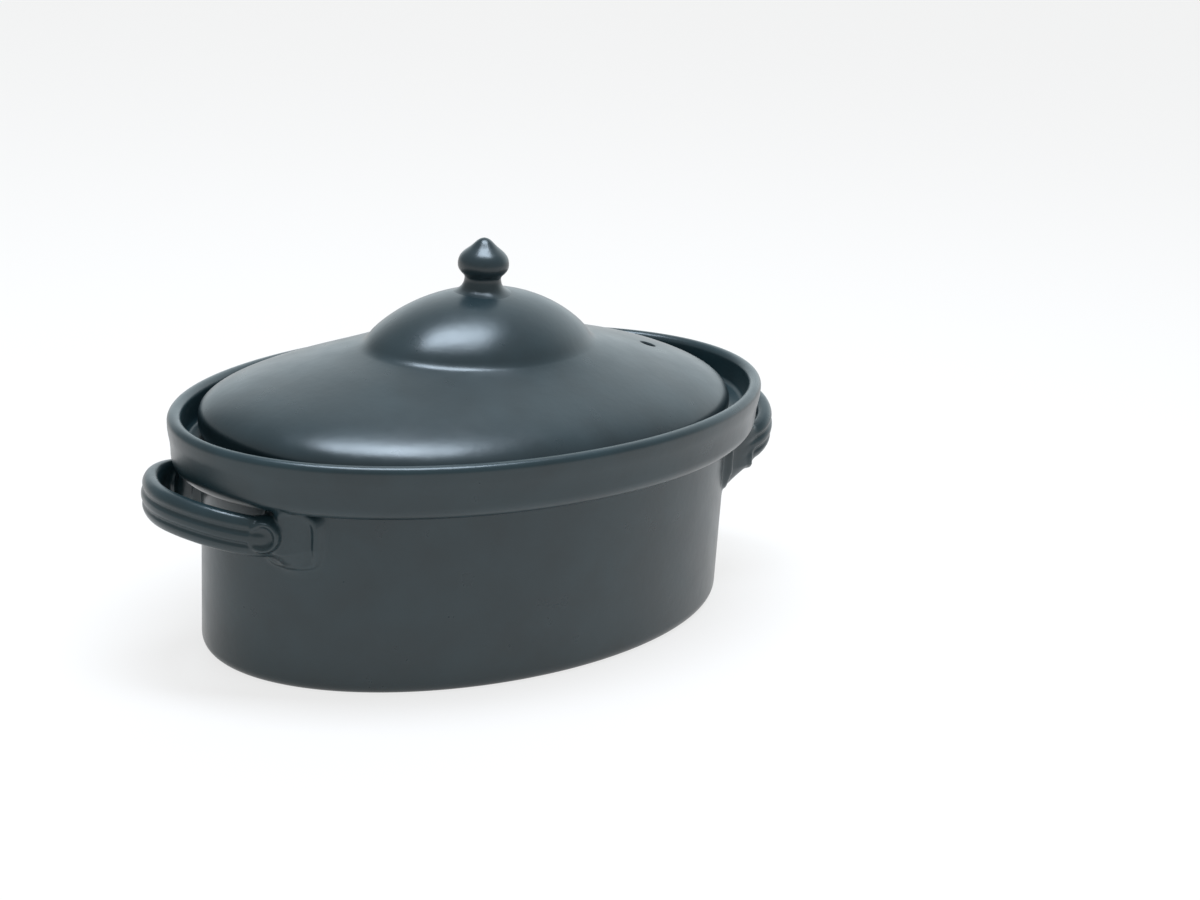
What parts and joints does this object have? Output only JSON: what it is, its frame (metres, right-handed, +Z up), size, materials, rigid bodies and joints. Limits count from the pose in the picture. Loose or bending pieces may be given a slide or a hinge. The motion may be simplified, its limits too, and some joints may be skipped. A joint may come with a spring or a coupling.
{
  "type": "oval clay pot",
  "caption": "Oval stovetop clay pot with straight sides, a heavy rim collar, two reeded loop handles and a domed lift-off lid with an onion knob and a steam hole.",
  "frame": {"origin": "centre of the pot's flat base, on the surface it stands on", "axes": "+X along the pot's length towards the right handle, +Y towards the back, +Z up through the knob"},
  "size_m": [0.3262, 0.195, 0.1739],
  "materials": {
    "body_glaze": "satin black glaze",
    "lid_glaze": "satin black glaze",
    "handle_glaze": "satin black glaze"
  },
  "bodies": {
    "pot": {"pot_body": "body_glaze", "left_handle": "handle_glaze", "right_handle": "handle_glaze", "left_front_tab": "handle_glaze", "left_back_tab": "handle_glaze", "right_front_tab": "handle_glaze", "right_back_tab": "handle_glaze", "left_front_pellet": "handle_glaze", "left_back_pellet": "handle_glaze", "right_front_pellet": "handle_glaze", "right_back_pellet": "handle_glaze"},
    "lid": {"lid_shell": "lid_glaze", "lid_knob": "lid_glaze"}
  },
  "joints": [
    {"name": "lid_lift", "type": "slide", "parent": "pot", "child": "lid", "axis": [0, 0, 1], "range_m": [0, 0.13]}
  ]
}
